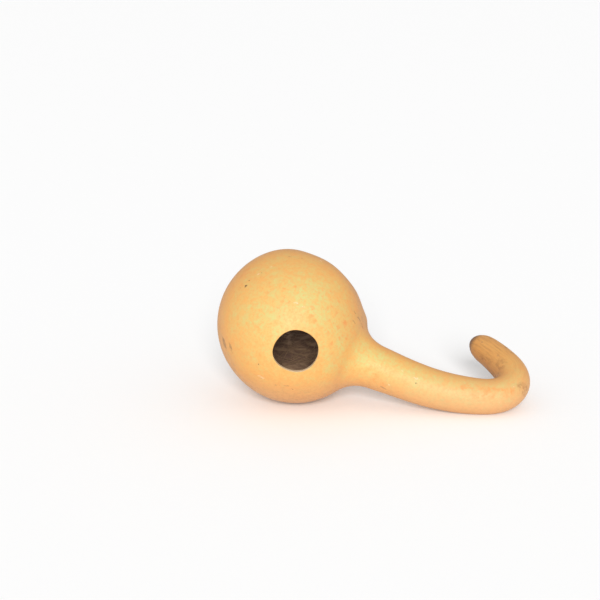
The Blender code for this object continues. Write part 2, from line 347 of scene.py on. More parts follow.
class GourdStage(bpy.types.PropertyGroup):
    """Camera, lights and floor."""

    lens: FloatProperty(
        name="Lens", description="Focal length in millimetres on a 36 mm sensor", default=70.0)
    distance: metres("Distance", "From the camera to the middle of the bulb", 1.136)
    azimuth: degrees("Azimuth", "Turn of the camera about the gourd", 15.35)
    elevation: degrees("Elevation", "Height of the camera above level", 16.0)
    key_rise: degrees("Key rise", "How far the key light stands above the camera", 9.0)
    key_strength: FloatProperty(name="Key strength", description="Strength of the key light", default=2.96)
    key_softness: degrees("Key softness", "Apparent width of the key light", 24.0)
    fill_strength: FloatProperty(
        name="Fill strength", description="Strength of the light from all round", default=0.60)
    floor: colour("Floor", "Plain pale floor", (0.985, 0.985, 0.985, 1.0))
    floor_size: metres("Floor size", "Half-width of the floor", 60.0)


def ease(t):
    t = min(max(t, 0.0), 1.0)
    return t * t * (3.0 - 2.0 * t)


def bend_rate(s):
    """Radians turned upwards and to the left for each metre of axis at s."""
    up = left = edge = 0.0
    for length, degrees_up, degrees_left in BENDS:
        share = ease((s - edge) / BEND_EASE + 0.5) - ease((s - edge - length) / BEND_EASE + 0.5)
        up += radians(degrees_up) * share / length
        left += radians(degrees_left) * share / length
        edge += length
    return up, left


def walk_axis(size):
    """Places along the axis, each as its point and its forward, left and up directions."""
    forward = Vector((cos(size.bulb_pitch), 0.0, -sin(size.bulb_pitch)))
    left = Vector((0.0, 1.0, 0.0))
    up = forward.cross(left)
    point = Vector((0.0, 0.0, size.bulb_height))
    places = [(point, forward, left, up)]
    for i in range(round(size.length / WALK_STEP)):
        turn_up, turn_left = bend_rate((i + 0.5) * WALK_STEP)
        turn = (turn_left * up - turn_up * left) * WALK_STEP
        spin = Matrix.Rotation(turn.length, 3, turn.normalized())
        previous = forward
        forward, left, up = spin @ forward, spin @ left, spin @ up
        point = point + (previous + forward) * WALK_STEP / 2.0
        places.append((point, forward, left, up))
    return places


def place_at(places, s):
    """The axis at s. Behind the middle of the bulb it runs on straight."""
    if s <= 0.0:
        point, forward, left, up = places[0]
        return point + forward * s, forward, left, up
    index = min(int(s / WALK_STEP), len(places) - 2)
    t = s / WALK_STEP - index
    near, far = places[index], places[index + 1]
    point = near[0].lerp(far[0], t)
    return point, near[1].slerp(far[1], t), near[2].slerp(far[2], t), near[3].slerp(far[3], t)


def arc_steps(radius, turn, ring):
    """Angles from 0 up to, but without, turn, about one ring apart on that radius."""
    count = max(round(abs(turn) * radius / ring), 1)
    return [turn * i / count for i in range(count)]


def body_profile(size, inset, end, ring):
    """(s, radius) of the bulb, the shoulder fillet and the tapering neck, front to back."""
    bulb = size.bulb_radius - inset
    back = size.bulb_back - inset
    fillet = size.shoulder + inset
    taper = (size.neck_tip - size.neck_root) / size.length
    root = size.neck_root - inset

    # The fillet's middle lies one fillet radius off the neck and off the bulb
    stretch = sqrt(1.0 + taper * taper)
    offset = root + fillet * stretch
    half = taper * offset / stretch**2
    middle_s = -half + sqrt(half**2 - (offset**2 - (bulb + fillet) ** 2) / stretch**2)
    middle_r = offset + taper * middle_s
    bulb_turn = asin(middle_s / (bulb + fillet))
    fillet_end = middle_s + fillet * taper / stretch

    points = [(-back * cos(a), bulb * sin(a)) for a in arc_steps(bulb, pi / 2.0, ring)]
    points += [(bulb * sin(a), bulb * cos(a)) for a in arc_steps(bulb, bulb_turn, ring)]
    for angle in arc_steps(fillet, bulb_turn, ring):
        left = bulb_turn - angle
        points.append((middle_s - fillet * sin(left), middle_r - fillet * cos(left)))
    neck_end = end - size.tip_rounding
    count = round((neck_end - fillet_end) / ring)
    for i in range(count):
        s = fillet_end + (neck_end - fillet_end) * i / count
        points.append((s, root + taper * s))
    return points, root, taper, neck_end


def rounded_tip(size, root, taper, neck_end, reach, ring):
    """The round end of the neck, up to the share of the rounding given by reach."""
    count = round(size.tip_rounding / ring) + TIP_EXTRA_RINGS
    points = []
    for i in range(count + 1):
        t = reach * sin(pi / 2.0 * i / count)
        s = neck_end + t * size.tip_rounding
        points.append((s, (root + taper * s) * sqrt(max(1.0 - t * t, 0.0))))
    return points


def scar_face(size):
    """Where the flat of the stem scar lies along the axis."""
    reach = sqrt(1.0 - (STEM_SCAR_RADIUS / size.neck_tip) ** 2)
    return size.length - size.tip_rounding * (1.0 - reach), reach


def outer_profile(size):
    points, root, taper, neck_end = body_profile(size, 0.0, size.length, size.outer_ring)
    button = -size.bulb_back - BLOSSOM_SCAR_HEIGHT
    blossom = [
        (button + depth * BLOSSOM_SCAR_HEIGHT, share * BLOSSOM_SCAR_RADIUS)
        for depth, share in BLOSSOM_SCAR_RINGS]
    points = [point for point in points if point[0] > -size.bulb_back + BLOSSOM_SCAR_HEIGHT / 4.0]
    edge, reach = scar_face(size)
    tip = rounded_tip(size, root, taper, neck_end, reach, size.outer_ring)
    stem = []
    for i in range(1, STEM_SCAR_RINGS + 1):
        share = i / STEM_SCAR_RINGS
        sink = STEM_SCAR_DEPTH * ease(share * 2.5) * (1.0 - 0.2 * share)
        stem.append((edge - sink, STEM_SCAR_RADIUS * (1.0 - share)))
    return blossom + points + tip + stem


def inner_profile(size):
    end = size.length - size.tip_plug
    points, root, taper, neck_end = body_profile(size, size.wall, end, size.inner_ring)
    return points + rounded_tip(size, root, taper, neck_end, 1.0, size.inner_ring)


def turned(profile, around):
    """A closed bmesh: the profile spun about Z, with the axis's s running down."""
    shape = bmesh.new()
    ring = [shape.verts.new((radius, 0.0, -s)) for s, radius in profile]
    edges = [shape.edges.new(pair) for pair in zip(ring, ring[1:])]
    bmesh.ops.spin(
        shape, geom=ring + edges, cent=(0.0, 0.0, 0.0), axis=(0.0, 0.0, 1.0),
        angle=tau, steps=around, use_merge=True)
    bmesh.ops.remove_doubles(shape, verts=shape.verts, dist=MERGE)
    bmesh.ops.recalc_face_normals(shape, faces=shape.faces)
    return shape


def swell(size, s, angle):
    """How far the skin at s stands out from the turned shape."""
    along = ease(1.0 - abs(s) / (size.bulb_radius + size.shoulder / 2.0))
    bulb = SWELL * along * cos(SWELL_LOBES * angle)
    neck = sum(extra * exp(-(((s - at) / spread) ** 2)) for at, extra, spread in NECK_SWELLINGS)
    return bulb + neck


def lump_middles():
    """Each lump's direction from the middle of the bulb, its height and its spread."""
    lumps = []
    for around, rise, height, spread in LUMPS:
        level = cos(radians(rise))
        middle = Vector((level * cos(radians(around)), level * sin(radians(around)), sin(radians(rise))))
        lumps.append((middle, height, radians(spread)))
    return lumps


def lump_at(size, point, lumps):
    """How far the bulb's lumps and flats move a point of its skin or of its hollow."""
    out = point - Vector((0.0, 0.0, size.bulb_height))
    fade = ease((LUMP_REACH - out.length / size.bulb_radius) / LUMP_FADE)
    if fade == 0.0:
        return Vector((0.0, 0.0, 0.0))
    total = sum(height * exp(-((out.angle(middle) / spread) ** 2)) for middle, height, spread in lumps)
    return out.normalized() * total * fade


def skin_relief(s, angle, across):
    """How far the skin lies below the ideal surface: dents, dimples and ridges."""
    place = Vector((across.x, across.y, s))
    dents = 0.5 + 0.5 * noise.noise(place * DENT_SCALE)
    dimples = 0.5 + 0.5 * noise.noise(place * DIMPLE_SCALE)
    depth = DENT_DEPTH * dents * ease(across.length / DENT_FULL) + DIMPLE_DEPTH * dimples
    ridge_share = ease((s - RIDGE_START) / (RIDGE_FULL - RIDGE_START))
    if ridge_share > 0.0:
        round_it = Vector((cos(angle), sin(angle), s * RIDGE_DRIFT)) * RIDGE_SCALE
        depth += RIDGE_DEPTH * ridge_share * abs(noise.noise(round_it))
    depth += NECK_INSET * ease((s - NECK_INSET_START) / NECK_INSET_EASE)
    return depth * ease(across.length / STEM_SCAR_RADIUS - SMOOTH_SCAR)


def pith_relief(point, hole_middle):
    """How far the crumpled pith stands off the inner wall."""
    fade = ease(((point - hole_middle).length - PITH_CLEAR) / PITH_FADE)
    folds = noise.ridged_multi_fractal(point * PITH_SCALE, *PITH_FOLDS)
    return PITH_DEPTH * fade * min(max(folds / PITH_CREST, 0.0), 1.0)


def hole_frame(size):
    """The hole's middle on the ideal skin, and its right, up and outward directions."""
    level = cos(size.hole_up)
    out = Vector((level * sin(size.hole_around), -level * cos(size.hole_around), sin(size.hole_up)))
    right = Vector((0.0, 0.0, 1.0)).cross(out).normalized()
    middle = Vector((0.0, 0.0, size.bulb_height)) + out * size.bulb_radius
    return middle, right, out.cross(right), out


def bend_skin(shape, size, places):
    lumps = lump_middles()
    for vertex in shape.verts:
        across = Vector((vertex.co.x, vertex.co.y))
        s = -vertex.co.z
        point, _, left, up = place_at(places, s)
        if across.length > MERGE:
            angle = atan2(across.y, across.x)
            across += across.normalized() * (swell(size, s, angle) - skin_relief(s, angle, across))
        skin = point + up * across.x + left * across.y
        skin += lump_at(size, skin, lumps)
        skin.z = max(skin.z, 0.0)
        vertex.co = skin


def bend_inside(shape, size, places):
    hole_middle = hole_frame(size)[0]
    lumps = lump_middles()
    for vertex in shape.verts:
        across = Vector((vertex.co.x, vertex.co.y))
        s = -vertex.co.z
        point, _, left, up = place_at(places, s)
        if across.length > MERGE:
            across += across.normalized() * swell(size, s, atan2(across.y, across.x))
        wall = point + up * across.x + left * across.y
        wall += lump_at(size, wall, lumps)
        room = ease(across.length / (PITH_FULL * size.bulb_radius))
        middle = point if s > 0.0 else places[0][0]
        if (middle - wall).length > MERGE:
            wall += (middle - wall).normalized() * pith_relief(wall, hole_middle) * room
        vertex.co = wall


def put_in_scene(name, data):
    """A new object with this mesh, curve, lamp or camera."""
    made = bpy.data.objects.new(name, data)
    bpy.context.scene.collection.objects.link(made)
    return made


def mesh_object(name, shape, materials):
    mesh = bpy.data.meshes.new(name)
    shape.to_mesh(mesh)
    shape.free()
    for material in materials:
        mesh.materials.append(material)
    return put_in_scene(name, mesh)


def final_mesh(name, source):
    """The smooth mesh that an object comes to in the end. The object itself goes."""
    graph = bpy.context.evaluated_depsgraph_get()
    mesh = bpy.data.meshes.new_from_object(source.evaluated_get(graph))
    bpy.data.objects.remove(source, do_unlink=True)
    mesh.name = name
    mesh.shade_smooth()
    return mesh


def hole_radius(size, angle, depth):
    waves = sum(height * cos(count * angle + phase) for count, height, phase in HOLE_WAVES)
    rough = sum(
        share * noise.noise(Vector((round_it * cos(angle), round_it * sin(angle), depth * through)))
        for share, round_it, through in HOLE_GRAINS)
    return size.hole_radius + waves + HOLE_ROUGHNESS * rough


def hole_cutter(size, materials):
    """A rod with the hole's outline and a rough side, flared a little where it meets the skin."""
    middle, right, up, out = hole_frame(size)
    skin = sqrt(size.bulb_radius**2 - size.hole_radius**2) - size.bulb_radius
    layers = [(skin - size.wall - CUTTER_SPARE, 0.0), (skin - size.wall - CUTTER_MARGIN, 0.0)]
    layers += [(skin - size.wall * share, 0.0) for share in CUTTER_RINGS]
    layers += [(skin - CHAMFER, 0.0), (skin + CHAMFER / 2.0, CHAMFER)]
    layers += [(skin + CUTTER_SPARE, CHAMFER * 2.0)]
    shape = bmesh.new()
    ring = bmesh.ops.create_circle(shape, cap_ends=True, segments=HOLE_POINTS, radius=1.0)["verts"]
    face = shape.faces[:]
    angles = [atan2(vertex.co.y, vertex.co.x) for vertex in ring]
    for index, (depth, flare) in enumerate(layers):
        if index:
            grown = bmesh.ops.extrude_face_region(shape, geom=face)["geom"]
            if index > 1:
                bmesh.ops.delete(shape, geom=face, context="FACES_ONLY")
            ring = [item for item in grown if isinstance(item, bmesh.types.BMVert)]
            face = [item for item in grown if isinstance(item, bmesh.types.BMFace)]
            turns = [vertex.co - middle for vertex in ring]
            angles = [atan2(turn.dot(up), turn.dot(right)) for turn in turns]
        for vertex, angle in zip(ring, angles):
            radius = hole_radius(size, angle, depth) + flare
            vertex.co = middle + (right * cos(angle) + up * sin(angle)) * radius + out * depth
    bmesh.ops.recalc_face_normals(shape, faces=shape.faces)
    for side in shape.faces:
        side.material_index = CUT
    return mesh_object("hole_cutter", shape, materials)


def read_vectors(items, name):
    """One row of three numbers for each item."""
    rows = np.empty(len(items) * 3, np.float32)
    items.foreach_get(name, rows)
    return rows.reshape(-1, 3)


def straight_places(mesh, size, places):
    """Each vertex as it would lie on the straight gourd: up, left and along the axis."""
    behind = round((size.bulb_back + BACK_SPARE) / WALK_STEP)
    rows = [place_at(places, -i * WALK_STEP) for i in range(behind, 0, -1)] + places
    along = np.array([(i - behind) * WALK_STEP for i in range(len(rows))])
    points, forwards, lefts, ups = (np.array([row[k][:] for row in rows]) for k in range(4))
    vertices = read_vectors(mesh.vertices, "co").astype(np.float64)
    found = np.empty(len(vertices), int)
    for start in range(0, len(vertices), VERTICES_AT_A_TIME):
        part = slice(start, start + VERTICES_AT_A_TIME)
        apart = ((vertices[part, None, :] - points[None, :, :]) ** 2).sum(2)
        found[part] = apart.argmin(1)
    offset = vertices - points[found]
    straight = np.stack(
        [(offset * ups[found]).sum(1), (offset * lefts[found]).sum(1),
         along[found] + (offset * forwards[found]).sum(1)], axis=1)
    layer = mesh.attributes.new("straight", "FLOAT_VECTOR", "POINT")
    layer.data.foreach_set("vector", straight.astype(np.float32).ravel())
    return straight


def mark_key_facing(mesh):
    """How far each part of the skin faces the key light, for painted light on that side and painted shade
    away from it.
    """
    facing = read_vectors(mesh.vertex_normals, "vector") @ np.array(KEY_LIGHT_SIDE[:], np.float32)
    layer = mesh.attributes.new("key_facing", "FLOAT", "POINT")
    layer.data.foreach_set("value", facing)


def mark_scars(mesh, size, straight):
    """Gives the faces of the stem scar and the blossom scar their own material."""
    stem_start = scar_face(size)[0] - STEM_SCAR_REACH
    blossom_end = -size.bulb_back + BLOSSOM_SCAR_REACH
    for polygon in mesh.polygons:
        if polygon.material_index != SKIN:
            continue
        x, y, s = straight[polygon.vertices[0]]
        at_stem = s > stem_start and x * x + y * y < STEM_SCAR_RADIUS**2
        at_blossom = s < blossom_end and x * x + y * y < BLOSSOM_SCAR_RADIUS**2
        if at_stem or at_blossom:
            polygon.material_index = SCAR


def closed_rind(size, materials, places):
    """The skin and the inner wall, before the hole is cut."""
    inside = turned(inner_profile(size), size.inner_around)
    bend_inside(inside, size, places)
    bmesh.ops.reverse_faces(inside, faces=inside.faces)
    for face in inside.faces:
        face.material_index = PITH
    inner_mesh = bpy.data.meshes.new("inner_wall")
    inside.to_mesh(inner_mesh)
    inside.free()
    skin = turned(outer_profile(size), size.outer_around)
    bend_skin(skin, size, places)
    skin.from_mesh(inner_mesh)
    bpy.data.meshes.remove(inner_mesh)
    return mesh_object("closed_rind", skin, materials)


def build_rind(size, materials):
    places = walk_axis(size)
    closed = closed_rind(size, materials, places)
    cutter = hole_cutter(size, materials)
    cut = closed.modifiers.new("Cut the hole", "BOOLEAN")
    cut.operation = "DIFFERENCE"
    cut.solver = "EXACT"
    cut.object = cutter
    mesh = final_mesh("gourd_rind", closed)
    bpy.data.objects.remove(cutter, do_unlink=True)
    mesh.set_sharp_from_angle(angle=SHARP_ANGLE)
    straight = straight_places(mesh, size, places)
    mark_scars(mesh, size, straight)
    mark_key_facing(mesh)
    return put_in_scene("gourd_rind", mesh)


def fibre_path(size, dice):
    """Points of one fibre that lies along the inner wall, opposite the hole or below it."""
    _, right, up, out = hole_frame(size)
    slant = FIBRE_SLANT + dice.gauss(0.0, 1.0) * FIBRE_SPREAD
    along = right * cos(slant) + up * sin(slant)
    start = right * dice.uniform(*FIBRE_RIGHT) + up * dice.uniform(*FIBRE_UP) - out * FIBRE_BACK
    start.normalize()
    axis = start.cross(along).normalized()
    reach = dice.uniform(*FIBRE_REACH)
    lift = dice.uniform(*FIBRE_LIFT)
    twist = dice.uniform(*FIBRE_TWIST)
    points = []
    for i in range(FIBRE_STEPS + 1):
        t = i / FIBRE_STEPS
        turn = Matrix.Rotation(reach * (t - 0.5), 3, axis) @ Matrix.Rotation(twist * t * t, 3, start)
        height = FIBRE_GAP + lift * sin(pi * t)
        points.append((turn @ start) * (size.bulb_radius - size.wall - height))
    return [point + Vector((0.0, 0.0, size.bulb_height)) for point in points]


def build_fibres(size, material):
    """One piece of many thin round fibres, thicker in the middle than at their ends."""
    dice = random.Random(FIBRE_SEED)
    curve = bpy.data.curves.new("fibres", "CURVE")
    curve.dimensions = "3D"
    curve.bevel_depth = 1.0
    curve.bevel_resolution = 1
    curve.use_fill_caps = True
    for _ in range(FIBRES):
        points = fibre_path(size, dice)
        thick = dice.uniform(*FIBRE_THICKNESS)
        spline = curve.splines.new("POLY")
        spline.points.add(len(points) - 1)
        for i, point in enumerate(points):
            share = FIBRE_END + (1.0 - FIBRE_END) * sin(pi * i / FIBRE_STEPS)
            spline.points[i].co = (*point, 1.0)
            spline.points[i].radius = thick * share
    mesh = final_mesh("pith_fibres", put_in_scene("fibre_lines", curve))
    bpy.data.curves.remove(curve)
    mesh.materials.append(material)
    return put_in_scene("pith_fibres", mesh)


def feed(tree, node, links):
    """Links or sets each named or numbered input of a node."""
    for name, value in links.items():
        socket = node.inputs[name]
        if isinstance(value, bpy.types.NodeSocket):
            tree.links.new(value, socket)
        else:
            socket.default_value = value


def add(tree, kind, links=None, **settings):
    """A node with these inputs and settings."""
    made = tree.nodes.new(kind)
    for name, value in settings.items():
        setattr(made, name, value)
    feed(tree, made, links or {})
    return made


def math(tree, operation, a, b):
    return add(tree, "ShaderNodeMath", {0: a, 1: b}, operation=operation).outputs[0]


def times(tree, a, b):
    return math(tree, "MULTIPLY", a, b)


def vectors(tree, operation, links, output="Vector"):
    return add(tree, "ShaderNodeVectorMath", links, operation=operation).outputs[output]


def z_of(tree, vector):
    return add(tree, "ShaderNodeSeparateXYZ", {0: vector}).outputs["Z"]


def laid(tree, ground, mask, tint, strength=1.0):
    """The ground with a tint laid over it where the mask is."""
    if strength != 1.0:
        mask = times(tree, mask, strength)
    return add(tree, "ShaderNodeMix", {0: mask, 6: ground, 7: tint}, data_type="RGBA").outputs[2]


def between(tree, value, low, high, to_low=0.0, to_high=1.0):
    """A smooth step of value from low to high."""
    links = {"Value": value, "From Min": low, "From Max": high, "To Min": to_low, "To Max": to_high}
    made = add(tree, "ShaderNodeMapRange", links, interpolation_type="SMOOTHSTEP")
    return made.outputs["Result"]


def cloud(tree, place, scale, detail, roughness=0.5, distortion=0.0):
    links = {"Vector": place, "Scale": scale, "Detail": detail, "Roughness": roughness,
             "Distortion": distortion}
    return add(tree, "ShaderNodeTexNoise", links).outputs["Fac"]


def stretched(tree, place, scale, turn=(0.0, 0.0, 0.0)):
    links = {"Vector": place, "Rotation": turn, "Scale": scale}
    return add(tree, "ShaderNodeMapping", links).outputs["Vector"]


def bump(tree, strength, depth, height):
    links = {"Strength": strength, "Distance": depth, "Height": height}
    return add(tree, "ShaderNodeBump", links).outputs["Normal"]


def new_material(name, base):
    material = bpy.data.materials.new(name)
    material.use_nodes = True
    material.diffuse_color = base
    tree = material.node_tree
    shader = tree.nodes["Principled BSDF"]
    place = add(tree, "ShaderNodeTexCoord").outputs["Object"]
    return material, tree, shader, place


def distance(tree, place, point):
    return vectors(tree, "DISTANCE", {0: place, 1: point}, "Value")


def marks(tree, place, strokes):
    """Soft masks of these marks together. Each is a circle, or an oval round its two ends."""
    together = None
    for *ends, width in strokes:
        start, end, width = Vector(ends[0]) * MM, Vector(ends[-1]) * MM, width * MM
        length = (end - start).length
        apart = distance(tree, place, start)
        reach = width
        if length > 0.0:
            apart = math(tree, "ADD", apart, distance(tree, place, end))
            reach = sqrt(length**2 + 4.0 * width**2) - length
        mask = between(tree, apart, length + MARK_EDGE * reach, length + MARK_CORE * reach)
        together = mask if together is None else math(tree, "MAXIMUM", together, mask)
    return together


def spots(tree, place, cells, size, share, soft=0.5):
    """Round spots of mixed sizes, one in a share of the cells."""
    voronoi = add(tree, "ShaderNodeTexVoronoi", {"Vector": place, "Scale": cells, "Randomness": 0.9})
    chance = add(tree, "ShaderNodeSeparateColor", {0: voronoi.outputs["Color"]})
    width = between(tree, chance.outputs[0], 1.0 - share, 1.0, 0.0, size)
    ratio = math(tree, "DIVIDE", voronoi.outputs["Distance"], math(tree, "MAXIMUM", width, 1e-4))
    return between(tree, ratio, 1.0, 1.0 - soft)


class SkinPlaces:
    """Sockets that tell where a point of the skin lies."""

    def __init__(self, tree, place):
        self.place = place
        self.straight = add(tree, "ShaderNodeAttribute", attribute_name="straight").outputs["Vector"]
        self.key_facing = add(tree, "ShaderNodeAttribute", attribute_name="key_facing").outputs["Fac"]
        self.along = z_of(tree, self.straight)

        # The place moved about a little, so that marks come out uneven
        wobble = add(tree, "ShaderNodeTexNoise", {"Vector": place, "Scale": 420.0, "Detail": 3.0})
        shift = vectors(tree, "SUBTRACT", {0: wobble.outputs["Color"], 1: (0.5, 0.5, 0.5)})
        shift = vectors(tree, "SCALE", {0: shift, "Scale": 0.0040})
        self.uneven = vectors(tree, "ADD", {0: place, 1: shift})
        self.drawn = stretched(tree, self.straight, (1.0, 1.0, 0.55))


def lit_and_ripe_ground(tree, finish, at, clouds):
    """Painted light: straw where the skin faces the key light, orange elsewhere, with clouds and grain at
    four scales.
    """
    mottle = math(tree, "SUBTRACT", cloud(tree, at.place, 130.0, 4.0, 0.65, 0.3), 0.5)
    lit_and_ripe = math(tree, "ADD", at.key_facing, times(tree, clouds, 0.55))
    lit_and_ripe = math(tree, "ADD", lit_and_ripe, times(tree, mottle, 1.05))
    # Painted light: a little paler at the neck root, where the shoulder curves in and lies in shade
    root = times(tree, between(tree, at.along, 0.040, 0.058), between(tree, at.along, 0.082, 0.066))
    lit_and_ripe = math(tree, "ADD", lit_and_ripe, times(tree, root, 0.14))
    ground = laid(tree, finish.rind, between(tree, lit_and_ripe, 0.40, 1.05), finish.pale_rind_and_light)
    ground = laid(tree, ground, between(tree, lit_and_ripe, 0.84, 1.10), finish.straw_rind_and_light)
    deep = between(tree, cloud(tree, at.drawn, 40.0, 6.0, 0.7, 0.8), 0.50, 0.74, 0.0, 0.34)
    ground = laid(tree, ground, deep, finish.deep_rind_and_shade)
    grain = between(tree, cloud(tree, at.place, 400.0, 4.0, 0.75), 0.42, 0.66, 0.0, 0.52)
    return laid(tree, ground, grain, finish.deep_rind_and_shade)


def browner_hook(tree, finish, at, ground):
    """The ground with a browner hook, and the lengthwise streaks that grow towards its end."""
    lengthwise = stretched(tree, at.straight, (1.0, 1.0, 0.10))
    streaks = between(tree, cloud(tree, lengthwise, 480.0, 4.0, 0.7), 0.42, 0.70)
    ground = laid(tree, ground, between(tree, at.along, 0.215, 0.270), finish.hook, 0.85)
    streaks = times(tree, streaks, between(tree, at.along, 0.21, 0.28, 0.03, 0.46))
    return laid(tree, ground, streaks, finish.bruise_and_shade), streaks


def shaded_and_worn_sides(tree, finish, at, ground):
    """The ground with painted shade on the sides away from the key light and towards the bottom, dark grain
    there, and dust, smudges and scratches on the limbs, partly painted shade.
    """
    # Painted shade: deeper rind on the sides that face away from the key light, more on the bulb than the
    # neck, and deeper, greyer rind towards the bottom
    away_from_key = between(tree, at.key_facing, 0.62, 0.05)
    height = z_of(tree, at.place)
    shade_towards_bottom = between(tree, height, 0.050, 0.004)
    side_shade = times(tree, away_from_key, between(tree, at.along, 0.15, 0.08, 0.20, 1.0))
    ground = laid(tree, ground, math(tree, "MAXIMUM", side_shade, shade_towards_bottom), finish.deep_rind_and_shade, 0.42)
    ground = laid(tree, ground, shade_towards_bottom, finish.dust_and_shade, 0.30)
    # Coarse dark grain, laid only where that painted shade lies, so it darkens those parts further
    coarse = between(tree, cloud(tree, at.place, 260.0, 6.0, 0.85), 0.44, 0.66, 0.0, 0.46)
    coarse = times(tree, coarse, math(tree, "MAXIMUM", away_from_key, shade_towards_bottom))
    coarse = times(tree, coarse, between(tree, at.along, 0.14, 0.08, 0.35, 1.0))
    ground = laid(tree, ground, coarse, finish.bruise_and_shade)

    # Dust, smudges and scratches keep to a girdle round the bulb where it turns away from the key light;
    # there they are partly painted shade on the limbs
    limb_shade_girdle = times(tree, away_from_key, between(tree, at.key_facing, -0.40, 0.0))
    limb_shade_girdle = times(tree, limb_shade_girdle, between(tree, at.along, 0.10, 0.06))
    limb_shade_girdle = times(tree, limb_shade_girdle, between(tree, height, 0.010, 0.050))
    scuffs = between(tree, cloud(tree, at.drawn, 90.0, 6.0, 0.75), 0.40, 0.64)
    dust_and_limb_shade = times(tree, scuffs, limb_shade_girdle)
    ground = laid(tree, ground, dust_and_limb_shade, finish.dust_and_shade, 0.50)
    smudges_and_limb_shade = between(tree, cloud(tree, at.drawn, 110.0, 6.0, 0.78, 0.2), 0.48, 0.66, 0.0, 0.42)
    ground = laid(tree, ground, times(tree, smudges_and_limb_shade, limb_shade_girdle), finish.rub_and_shade)
    scratched = stretched(tree, at.straight, (0.30, 1.0, 0.45))
    scratches = between(tree, cloud(tree, scratched, 330.0, 4.0, 0.7, 1.4), 0.58, 0.68)
    return laid(tree, ground, times(tree, scratches, limb_shade_girdle), finish.rub_and_shade, 0.28), dust_and_limb_shade


def freckled(tree, finish, at, ground):
    """The ground with freckles, many on the right of the bulb and few elsewhere."""
    apart = distance(tree, at.place, (0.052, -0.048, 0.092))
    many = between(tree, apart, 0.070, 0.015, 0.30, 1.0)
    large = times(tree, spots(tree, at.uneven, 150.0, 0.42, 0.42), many)
    small = times(tree, spots(tree, at.uneven, 330.0, 0.34, 0.34), many)
    ground = laid(tree, ground, large, finish.freckle, 0.42)
    return laid(tree, ground, small, finish.freckle, 0.60)


def marked(tree, finish, at, ground):
    """The ground with the marks that are placed one by one, the rubbed places and the specks."""
    broken = between(tree, cloud(tree, at.place, 620.0, 4.0, 0.7), 0.34, 0.58)
    ground = laid(tree, ground, marks(tree, at.uneven, FRECKLES), finish.freckle, 0.52)
    patchy = between(tree, cloud(tree, at.place, 150.0, 5.0, 0.72, 0.4), 0.38, 0.66)
    patches = times(tree, marks(tree, at.uneven, ORANGE_PATCHES), patchy)
    ground = laid(tree, ground, patches, finish.freckle, 0.70)
    # Bruises, and painted shade in the crease of the hook's inner bend
    bruises_and_crease_shade = times(tree, marks(tree, at.uneven, BRUISES_AND_CREASE_SHADE), patchy)
    ground = laid(tree, ground, bruises_and_crease_shade, finish.bruise_and_shade, 0.66)
    rubbed = between(tree, cloud(tree, at.place, 260.0, 6.0, 0.8), 0.30, 0.54)
    rubs = times(tree, marks(tree, at.uneven, RUBS), rubbed)
    ground = laid(tree, ground, rubs, finish.rub_and_shade, 0.62)
    pale = times(tree, marks(tree, at.uneven, PALE_SCARS), broken)
    ground = laid(tree, ground, pale, finish.pale_scar, 0.60)
    specks = marks(tree, at.uneven, SPECKS)
    scattered = spots(tree, at.uneven, 75.0, 0.050, 0.20, 0.6)
    specks = math(tree, "MAXIMUM", specks, times(tree, scattered, 0.6))
    return laid(tree, ground, specks, finish.speck, 0.88), rubs, specks


def skin_material(finish, size):
    material, tree, shader, place = new_material("rind", finish.rind)
    at = SkinPlaces(tree, place)
    clouds = math(tree, "SUBTRACT", cloud(tree, at.drawn, 24.0, 4.0, 0.6, 0.5), 0.5)
    ground = lit_and_ripe_ground(tree, finish, at, clouds)
    ground, streaks = browner_hook(tree, finish, at, ground)
    ground, dust_and_limb_shade = shaded_and_worn_sides(tree, finish, at, ground)
    ground = freckled(tree, finish, at, ground)
    ground, rubs, specks = marked(tree, finish, at, ground)

    # Grime gathers round the stem scar
    edge, _ = scar_face(size)
    grime = between(tree, at.along, edge - 0.012, edge - 0.002, 0.0, 0.85)
    ground = laid(tree, ground, grime, finish.scar)

    # Satin skin with fine pores, rougher where it is dusty or rubbed
    worn = math(tree, "ADD", finish.roughness, times(tree, clouds, 0.25))
    worn = math(tree, "ADD", worn, times(tree, math(tree, "MAXIMUM", dust_and_limb_shade, rubs), 0.25))
    pores = cloud(tree, place, 900.0, 2.0, 0.6)
    ripple = cloud(tree, place, 160.0, 3.0, 0.5)
    relief = math(tree, "ADD", times(tree, pores, 0.10), times(tree, ripple, 0.35))
    relief = math(tree, "SUBTRACT", relief, times(tree, specks, 0.5))
    relief = math(tree, "SUBTRACT", relief, times(tree, streaks, 0.6))
    feed(tree, shader, {
        "Base Color": ground, "Roughness": worn, "Specular IOR Level": 0.20,
        "Sheen Weight": 0.04, "Sheen Roughness": 0.45, "Sheen Tint": (1.0, 0.95, 0.88, 1.0),
        "Normal": bump(tree, 0.35, 0.0006, relief)})
    return material


def cut_material(finish):
    material, tree, shader, place = new_material("cut_edge", finish.cut)
    fibre = between(tree, cloud(tree, place, 900.0, 4.0, 0.7), 0.35, 0.70)
    ground = laid(tree, finish.cut, fibre, finish.pale_scar)
    stain = between(tree, cloud(tree, place, 180.0, 3.0), 0.55, 0.75, 0.0, 0.5)
    ground = laid(tree, ground, stain, finish.deep_rind_and_shade)
    feed(tree, shader, {
        "Base Color": ground, "Roughness": 0.85, "Specular IOR Level": 0.2,
        "Normal": bump(tree, 0.5, 0.0004, fibre)})
    return material


